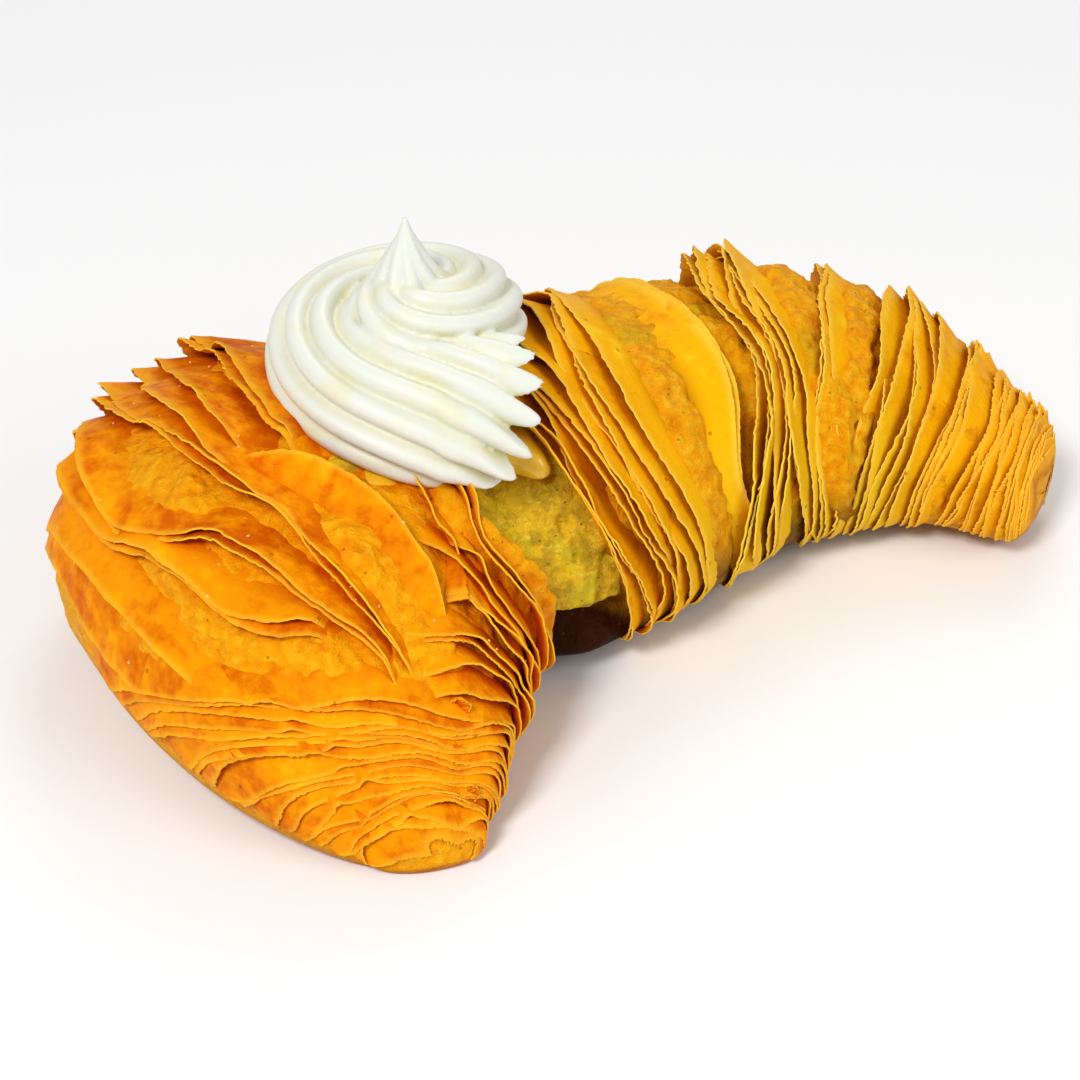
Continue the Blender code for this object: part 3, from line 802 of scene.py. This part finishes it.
def buildChoux(roughenTree, finish):
    look = chouxLook
    first, last = look["run"]
    run, angle = ringGrid(np.linspace(first, last, look["rows"]), look["columns"])
    along = smoothStep(0.33, 0.41, run) * (1 - smoothStep(0.62, 0.68, run))
    swell = gapAcross(halfTurn(angle)) * along
    points = crescentPoint(run, angle, -look["wall"] + (look["wall"] - look["recess"]) * swell)
    points[..., 2] = np.maximum(points[..., 2], look["floor"])
    closeEnds = np.minimum(smoothStep(first - 0.001, first + 0.02, run),
                           1 - smoothStep(last - 0.02, last + 0.001, run))
    centre = points.mean(1, keepdims=True)
    points = centre + (points - centre) * np.maximum(closeEnds, 0.02)[..., None]
    choux = loft("chouxCore", points, {"give": swell})
    useTree(choux, roughenTree, {**look["surface"], "Finish": finish})
    return settle(choux)


custardLook = {
    "deep": (0.84, 0.47, 0.012), "cloud": (0.88, 0.60, 0.05), "coat": 0.3, "coatRoughness": 0.15,
    "edgeLumps": [(-100, 6.5, 9), (-36, 6.2, 9), (-150, 1.2, 10)],  # angle, reach in mm, width in degrees
    "inset": 0.8, "waist": 0.86, "rows": 26, "columns": 220,
    "surface": {"Lump Height": 1.0, "Lump Size": 5.0, "Grain Height": 0.1, "Grain Size": 2.0, "Seed": 2.0},
}


def custardMaterial():
    look = custardLook
    material, tree, shader = newMaterial("custard", 0.22, 0.5, Coat_Weight=look["coat"],
                                         Coat_Roughness=look["coatRoughness"])
    place = objectPlace(tree)
    cloudy = rangeNode(tree, noiseNode(tree, place, 5.0, 3.0), 0.35, 0.7)
    plug(tree, mixColour(tree, cloudy, look["deep"], look["cloud"]), shader.inputs["Base Color"])
    addBump(tree, shader, noiseNode(tree, place, 2.0, 3.0), 0.25, 0.3)
    return material


def buildCustard(roughenTree, finish):
    look = custardLook
    low, high = (np.array(corner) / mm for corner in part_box("custard"))
    centre, reach = (low + high) / 2, (high - low)[0] / 2
    t, angle = ringGrid(np.linspace(0, 1, look["rows"]), look["columns"])
    radius = np.full(angle.shape, reach - look["inset"])
    turn = halfTurn(angle)
    droop = np.zeros(angle.shape)
    for place, size, width in look["edgeLumps"]:
        radius += size * hump(turn - place, width)
        droop += 0.35 * size * hump(turn - place, width * 1.4)
    bulge = np.sin(pi * t) ** 0.5
    r = radius * np.where(bulge > 0.02, look["waist"] + (1 - look["waist"]) * bulge, look["waist"])
    a = np.radians(angle)
    level = low[2] + (high[2] - low[2]) * (1 - np.cos(pi * t)) / 2 - droop * bulge
    custard = loft("custardPad", np.stack([centre[0] + r * np.cos(a), centre[1] + r * np.sin(a), level], -1),
                   {"give": np.sin(pi * t)})
    useTree(custard, roughenTree, {**look["surface"], "Finish": finish})
    return settle(custard)


rosette = {
    "white": (0.755, 0.775, 0.69), "ivory": (0.77, 0.73, 0.44), "shade": (0.78, 0.74, 0.42), "shadeReach": 2.5,
    "softness": 0.25, "softReach": (0.004, 0.0035, 0.002),
    "piping": {"Turns": 1.55, "Path Radius": 21.0, "Cord Radius": 9.8, "Ribs": 12.0, "Rib Depth": 0.28, "Lean": 3.0,
               "Teeth": 5.2, "Slant": 7.0, "Peak Ribs": 9.0, "Peak Twist": 1.9},
    "pathPoints": 150, "ringPoints": 168, "peakPoints": 90, "voxel": 0.36, "soften": (0.5, 4),
    "startAngle": -38, "sag": 1.6, "spread": 0.03, "fan": (-0.45, 1.35), "fanHeight": 15.0,
    "leanCurve": [(0.0, 0.0), (1.0, 1.0), (0.20, 0.55)],
    "pathCurve": [(0.0, 0.96), (1.0, 0.0), (0.035, 0.80), (0.07, 0.70), (0.12, 0.64), (0.21, 0.60), (0.44, 0.55),
                  (0.58, 0.40), (0.72, 0.26), (0.86, 0.12)],
    "climbCurve": [(0.0, 0.27), (1.0, 0.50), (0.42, 0.29), (0.58, 0.38), (0.72, 0.44), (0.86, 0.48)],
    "girthCurve": [(0.0, 0.86), (1.0, 0.45), (0.02, 0.96), (0.05, 1.0), (0.14, 1.0), (0.58, 0.93), (0.72, 0.86),
                   (0.86, 0.68)],
    "peakCurve": [(0.0, 1.3), (1.0, 0.02), (0.30, 1.22), (0.42, 1.08), (0.52, 0.92), (0.62, 0.70), (0.72, 0.46),
                  (0.82, 0.27), (0.91, 0.12)],
    "peakLean": [(0.0, 1.0), (1.0, 0.0), (0.45, 0.62), (0.70, 0.22)],
}


def curveNode(tree, factor, points):
    made = addNode(tree, "ShaderNodeFloatCurve", {"Value": factor})
    line = made.mapping.curves[0]
    for index, (x, y) in enumerate(points):
        if index < 2:
            line.points[index].location = (x, y)
        else:
            line.points.new(x, y)
    made.mapping.update()
    return Wire(tree, made.outputs[0])


def buildRosetteTree():  # a ribbed cord of cream piped along a spiral, and a ribbed cone for its peak
    tree, given, end = geometryTree("piped rosette", {**rosette["piping"], "Height": 30.0})

    def cordOf(path, girthCurve, leanCurve, lean):  # gives a path its thickness and its twist
        along = wire(tree, "GeometryNodeSplineParameter")
        girth = curveNode(tree, along, rosette[girthCurve]) * given["Cord Radius"]
        sized = wire(tree, "GeometryNodeSetCurveRadius", {"Curve": path, "Radius": girth})
        twist = curveNode(tree, along, rosette[leanCurve]) * lean
        return along, wire(tree, "GeometryNodeSetCurveTilt", {"Curve": sized, "Tilt": twist})

    def piped(path, ribs):  # skins a path with the star-shaped outline of the nozzle, 1 mm in radius
        ring = wire(tree, "GeometryNodeCurvePrimitiveCircle", {"Resolution": rosette["ringPoints"], "Radius": mm})
        around = wire(tree, "GeometryNodeSplineParameter")
        ribWave = mathNode(tree, "ABSOLUTE", mathNode(tree, "SINE", around * ribs * pi))
        valley = (1.0 - ribWave) ** 1.6
        ridged = storeValue(tree, ring, "ridge", valley)
        outline = scaled(positionNode(tree), 1.0 - valley * given["Rib Depth"])
        star = wire(tree, "GeometryNodeSetPosition", {"Geometry": ridged, "Position": outline})
        return wire(tree, "GeometryNodeCurveToMesh", {"Curve": path, "Profile Curve": star, "Fill Caps": True,
                                                      "Scale": wire(tree, "GeometryNodeInputRadius")})

    spiral = wire(tree, "GeometryNodeCurveSpiral", {
        "Resolution": rosette["pathPoints"], "Rotations": given["Turns"], "Start Radius": 1.0, "End Radius": 1.0,
        "Height": 0.0})
    along, cord = cordOf(spiral, "girthCurve", "leanCurve", given["Lean"])
    flat = vectorNode(tree, "MULTIPLY", positionNode(tree), (1.0, 1.0, 0.0))
    flat = scaled(flat, curveNode(tree, along, rosette["pathCurve"]) * given["Path Radius"])
    climb = arrow(tree, z=curveNode(tree, along, rosette["climbCurve"]) * given["Height"])
    cord = wire(tree, "GeometryNodeSetPosition", {"Geometry": storeValue(tree, cord, "alongCord", along),
                                                  "Position": scaled(vectorNode(tree, "ADD", flat, climb), mm)})
    coil = piped(cord, given["Ribs"])

    alongCord, ridge = storedValue(tree, "alongCord"), storedValue(tree, "ridge")
    teeth = (0.50 - ridge**0.6) * rangeNode(tree, alongCord, 0.035, 0.0)  # pointed, with deep notches between
    upper = rangeNode(tree, heightOf(tree, positionNode(tree)), 0.0, rosette["fanHeight"] * mm, shape="LINEAR")
    low, turn = rosette["fan"]
    heading = low + upper * turn  # low ribs fan to the front
    fan = arrow(tree, mathNode(tree, "COSINE", heading), mathNode(tree, "SINE", heading), -0.15)
    fan = scaled(fan, teeth * given["Teeth"] * mm)
    back = (0.85 - upper) * rangeNode(tree, alongCord, 0.17, 0.0)
    slant = scaled(arrow(tree, y=back * -mm), given["Slant"])
    coil = wire(tree, "GeometryNodeSetPosition", {"Geometry": coil, "Offset": vectorNode(tree, "ADD", fan, slant)})

    stem = wire(tree, "GeometryNodeCurvePrimitiveLine", {"End": arrow(tree, z=given["Height"] * mm)})
    stem = wire(tree, "GeometryNodeResampleCurve", {"Curve": stem, "Count": rosette["peakPoints"]})
    peak = piped(cordOf(stem, "peakCurve", "peakLean", given["Peak Twist"])[1], given["Peak Ribs"])
    both = addNode(tree, "GeometryNodeJoinGeometry")
    for made in (coil, peak):
        plug(tree, made, both.inputs[0])
    return finishTree(tree, given, end, Wire(tree, both.outputs[0]))


def creamMaterial(shadeInHollows):
    look = rosette
    material, tree, shader = newMaterial(
        "whippedCream", 0.38, 0.35, Subsurface_Weight=look["softness"], Subsurface_Radius=look["softReach"],
        Subsurface_Scale=0.5)
    place = objectPlace(tree)
    streak = rangeNode(tree, noiseNode(tree, place, 7.0, 3.0, 0.5, 0.6), 0.50, 0.74)
    colour = mixColour(tree, streak * 0.55, look["white"], look["ivory"])
    # painted shade in the grooves between the ribs
    colour = mixColour(tree, hollowShadeMask(tree, shadeInHollows, look["shadeReach"]) * 0.8, colour, look["shade"])
    plug(tree, colour, shader.inputs["Base Color"])
    addBump(tree, shader, noiseNode(tree, place, 0.7, 4.0, 0.6) + noiseNode(tree, place, 3.5) * 1.5, 0.22, 0.2)
    return material


def buildRosette(finish):
    low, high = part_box("cream_rosette")
    centre = (low + high) / 2
    piece = meshObject("creamSwirl", [(0, 0, 0)], [])
    useTree(piece, buildRosetteTree(), {**rosette["piping"], "Height": (high.z - low.z) / mm, "Finish": finish})
    fuse = piece.modifiers.new("fuse", "REMESH")
    fuse.mode = "VOXEL"
    fuse.voxel_size = rosette["voxel"] * mm
    fuse.use_smooth_shade = True
    soften = piece.modifiers.new("soften", "SMOOTH")
    soften.factor, soften.iterations = rosette["soften"]
    settle(piece)
    coords = np.empty(len(piece.data.vertices) * 3)
    piece.data.vertices.foreach_get("co", coords)
    a = radians(rosette["startAngle"])
    turned = coords.reshape(-1, 3) @ np.array([[cos(a), sin(a), 0], [-sin(a), cos(a), 0], [0, 0, 1]])
    front = smoothStep(4 * mm, -20 * mm, turned[:, 1])
    turned[:, 1] *= 1 + rosette["spread"] * front
    turned[:, 2] = np.maximum(turned[:, 2], 0) - rosette["sag"] * mm * front
    turned += np.array([centre.x, centre.y, low.z])
    piece.data.vertices.foreach_set("co", turned.ravel())
    piece.data.update()
    piece.data.materials.clear()
    piece.data.materials.append(finish)
    return piece


crumbLook = {
    "pale": (0.95, 0.72, 0.30), "gold": (0.90, 0.42, 0.05), "grainRadius": 0.5, "chipping": 1900.0,
    "scatter": {"Density": 9000.0, "Smallest": 0.25, "Largest": 0.7, "Flatness": 0.5, "Facing": 0.15, "Seed": 11},
}


def crumbMaterial():
    material, tree, shader = newMaterial("bakedCrumb", 0.6)
    place = objectPlace(tree)
    patches = rangeNode(tree, noiseNode(tree, place, 6.0), 0.4, 0.6)
    plug(tree, mixColour(tree, patches, crumbLook["pale"], crumbLook["gold"]), shader.inputs["Base Color"])
    addBump(tree, shader, noiseNode(tree, place, 0.3), 0.5, 0.1)
    return material


def buildScatterTree():  # small broken grains on the upper side of a surface
    tree, given, end = geometryTree("scatter grains", crumbLook["scatter"])
    up = heightOf(tree, wire(tree, "GeometryNodeInputNormal"))
    upper = wire(tree, "FunctionNodeCompare", {0: up, 1: given["Facing"]}, operation="GREATER_THAN")
    chosen = {"Mesh": given["Geometry"], "Selection": upper, "Density": given["Density"], "Seed": given["Seed"]}
    spots = wire(tree, "GeometryNodeDistributePointsOnFaces", chosen, "Points")
    grain = wire(tree, "GeometryNodeMeshIcoSphere", {"Radius": crumbLook["grainRadius"] * mm, "Subdivisions": 2})
    noise = {"Vector": positionNode(tree), "Scale": crumbLook["chipping"], "Detail": 1.0}
    noise = wire(tree, "ShaderNodeTexNoise", noise, "Color")
    shift = scaled(vectorNode(tree, "SUBTRACT", noise, (0.5, 0.5, 0.5)), 0.6 * mm)
    broken = wire(tree, "GeometryNodeSetPosition", {"Geometry": grain, "Offset": shift})
    size = wire(tree, "FunctionNodeRandomValue", {2: given["Smallest"], 3: given["Largest"], "Seed": 3}, 1,
                data_type="FLOAT")
    turn = wire(tree, "FunctionNodeRandomValue", {0: (0, 0, 0), 1: (6.28, 6.28, 6.28), "Seed": 5},
                data_type="FLOAT_VECTOR")
    stretch = scaled(arrow(tree, 1.0, 0.75, given["Flatness"]), size)
    placed = wire(tree, "GeometryNodeInstanceOnPoints", {"Points": spots, "Instance": broken, "Rotation": turn,
                                                         "Scale": stretch})
    return finishTree(tree, given, end, placed)


def buildCrumbs(source, finish):
    crumbs = bpy.data.objects.new("bakedCrumbs", source.data.copy())
    scene.collection.objects.link(crumbs)
    useTree(crumbs, buildScatterTree(), {**crumbLook["scatter"], "Finish": finish})
    return settle(crumbs)


studio = {
    "elevation": 36, "distance": 0.38, "lens": 80, "aim": (-0.00495, -0.00439, 0.0178), "worldLight": 0.40,
    "floor": (0.93, 0.93, 0.93), "floorHalf": 2500,
    "lights": [("keyLight", (-0.30, -0.55, 0.75), 0.25, 5.7), ("fillLight", (0.65, -0.35, 0.50), 0.5, 1.9),
               ("backLight", (0.1, 0.7, 0.7), 0.4, 1.9)],  # name, place, size and power
}


def buildStudio():
    aim = Vector(studio["aim"])
    tilt = radians(studio["elevation"])
    camera = bpy.data.objects.new("camera", bpy.data.cameras.new("camera"))
    camera.data.lens, camera.data.sensor_width = studio["lens"], 36
    camera.data.clip_start = 0.01
    camera.location = aim + Vector((0, -cos(tilt), sin(tilt))) * studio["distance"]
    camera.rotation_euler = (pi / 2 - tilt, 0, 0)
    scene.collection.objects.link(camera)
    scene.camera = camera
    far = studio["floorHalf"]
    floor = meshObject("floor", [(-far, -far, 0), (far, -far, 0), (far, far, 0), (-far, far, 0)], [(0, 1, 2, 3)])
    paper, tree, shader = newMaterial("palePaper", 0.9, 0.1)
    dimmer = tuple(c * 0.99 for c in studio["floor"])
    shade = mixColour(tree, noiseNode(tree, objectPlace(tree), 400.0, 2.0), studio["floor"], dimmer)
    plug(tree, shade, shader.inputs["Base Color"])
    floor.data.materials.append(paper)
    for name, place, size, power in studio["lights"]:
        light = bpy.data.objects.new(name, bpy.data.lights.new(name, "AREA"))
        light.data.size, light.data.energy = size, power
        light.location = place
        light.rotation_euler = (aim - Vector(place)).to_track_quat("-Z", "Y").to_euler()
        scene.collection.objects.link(light)
    world = bpy.data.worlds.new("softRoom")
    world.use_nodes = True
    background = world.node_tree.nodes["Background"]
    background.inputs["Color"].default_value = (1, 1, 1, 1)
    background.inputs["Strength"].default_value = studio["worldLight"]
    scene.world = world
    scene.view_settings.view_transform = "Standard"


def handOver(piece, slot, *nodes):
    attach(piece, "root")
    if nodes:
        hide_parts(*nodes)


def main():
    buildStudio()
    shared = browning, specks, shadeInHollows = buildBrowningGroup(), buildSpeckGroup(), buildHollowShadeGroup()
    roughen = buildRoughenTree()
    finishes = [leafMaterial("leafFace", *shared, leafLook["faceRim"]),
                leafMaterial("leafRim", *shared, leafLook["cutRim"])]
    handOver(buildCrust(roughen, crustMaterial(*shared)), "flaky_pastry", "pastry")
    print("crust under the leaves done")
    handOver(buildChoux(roughen, chouxMaterial(specks)), "choux_dough", "choux_core")
    handOver(buildCustard(roughen, custardMaterial()), "custard", "custard")
    handOver(buildRosette(creamMaterial(shadeInHollows)), "whipped_cream", "cream_rosette")
    print("filling and cream done")
    sheets = {"tipLeaves": stackOf(tipStack, 3)}
    for name, rows, seed in (("lobeLeaves", lobeLeaves, 40), ("lipLeaves", lipLeaves, 70)):
        sheets[name] = [sheet for n, leaf in enumerate(rows) for sheet in layersOf(leaf, seed + n)]
    for n, stack in enumerate(armStacks):
        sheets.setdefault(stack["name"], []).extend(stackOf(stack, 80 + n))
    pieces = {}
    for n, (name, made) in enumerate(sheets.items()):
        pieces[name] = leafPiece(name, made, finishes, roughen, n)
        handOver(pieces[name], "flaky_pastry")
        print(name, len(made), "leaves,", len(pieces[name].data.polygons), "faces")
    handOver(buildCrumbs(pieces["lobeLeaves"], crumbMaterial()), "flaky_pastry")
    print("crumbs done")


main()
